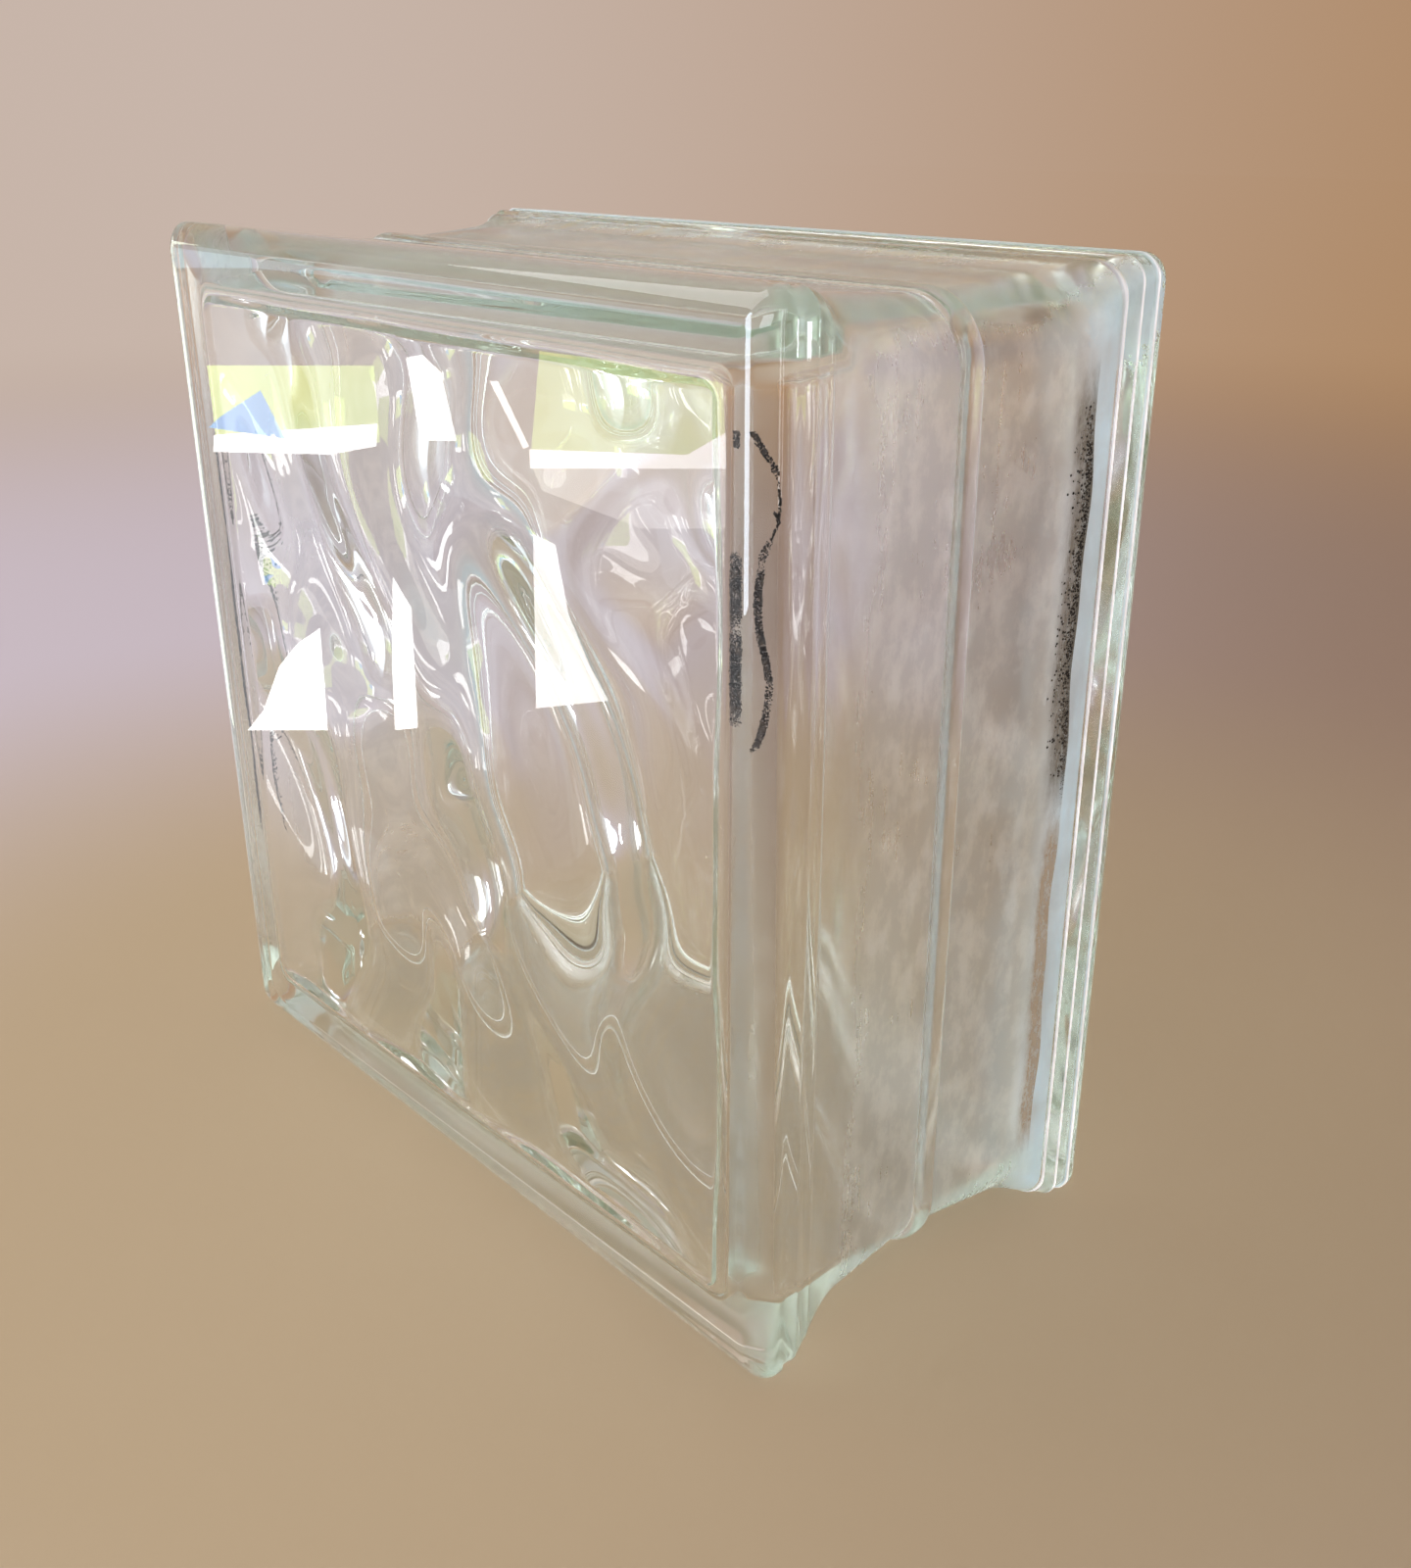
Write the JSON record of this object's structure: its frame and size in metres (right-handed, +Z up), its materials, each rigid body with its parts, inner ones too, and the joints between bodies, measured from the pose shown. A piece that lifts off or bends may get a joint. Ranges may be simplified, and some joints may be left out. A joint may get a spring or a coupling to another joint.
{
  "type": "glass block",
  "caption": "Square hollow glass building block with wavy see-through faces, rounded lips and a recessed mortar channel round its edge.",
  "frame": {"origin": "on the floor under the middle of the block, which stands on the lips of its two faces", "axes": "+Z up, X along the width of the faces, +Y through the thickness from the front face to the rear face"},
  "size_m": [0.197, 0.098, 0.197],
  "materials": {
    "glass": "clear pressed glass with a faint green cast, fire-polished faces and slightly hazy edges"
  },
  "bodies": {
    "root": {"front_half": "glass", "rear_half": "glass"}
  },
  "joints": []
}
